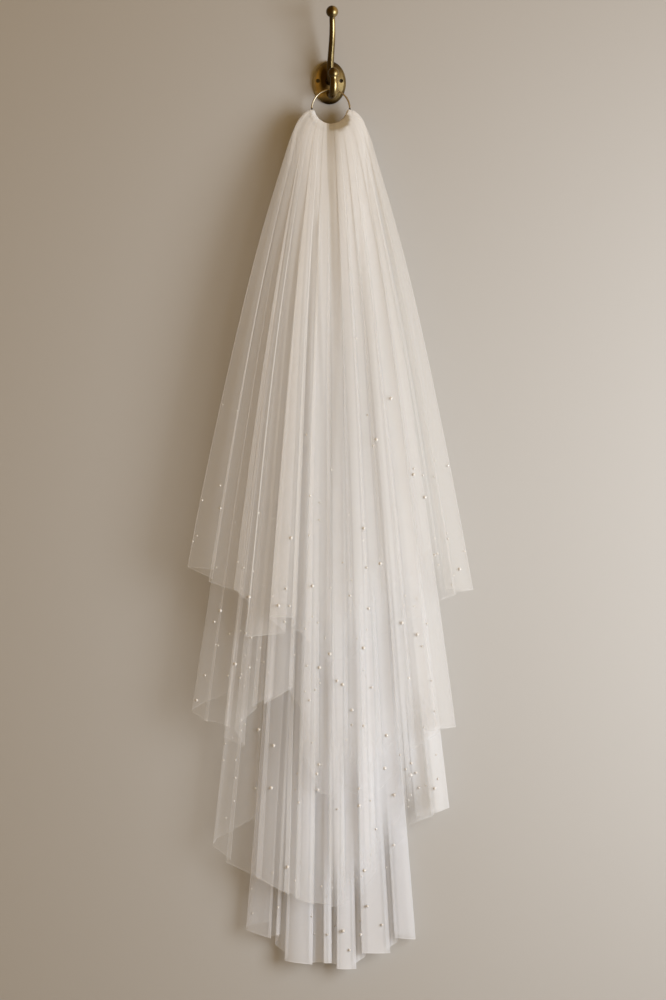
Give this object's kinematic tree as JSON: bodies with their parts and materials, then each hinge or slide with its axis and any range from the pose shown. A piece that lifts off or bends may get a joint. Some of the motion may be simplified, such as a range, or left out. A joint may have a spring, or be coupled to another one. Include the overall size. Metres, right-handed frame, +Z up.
{
  "type": "bridal veil on a wall hook",
  "caption": "Tiered bridal veil of soft sheer net with pearls, its pleats gathered on a thin wire ring that hangs from a double-prong brass wall hook with an oval plate",
  "frame": {"origin": "the middle of the back face of the hook's wall plate", "axes": "+X to the viewer's right, +Y into the wall, +Z up; the veil hangs down towards -Z and its front faces -Y"},
  "size_m": [0.3402, 0.0875, 1.1553],
  "materials": {
    "antique_brass": "aged brass, darker in the hollows and worn bright on the rounds",
    "gold_wire": "pale gold wire",
    "casing_net": "soft ivory net, gathered tightly",
    "tier_1_net": "sheer ivory net with a raw cut edge",
    "tier_2_net": "sheer ivory net with a raw cut edge",
    "tier_3_net": "sheer ivory net with a raw cut edge",
    "tier_4_net": "sheer ivory net with a raw cut edge"
  },
  "bodies": {
    "root": {"hook_plate": "antique_brass", "hook_upper_prong": "antique_brass", "hook_lower_prong": "antique_brass", "hanging_ring": "gold_wire", "gathered_casing": "casing_net", "tier_1": "tier_1_net", "tier_2": "tier_2_net", "tier_3": "tier_3_net", "tier_4": "tier_4_net"}
  },
  "joints": []
}
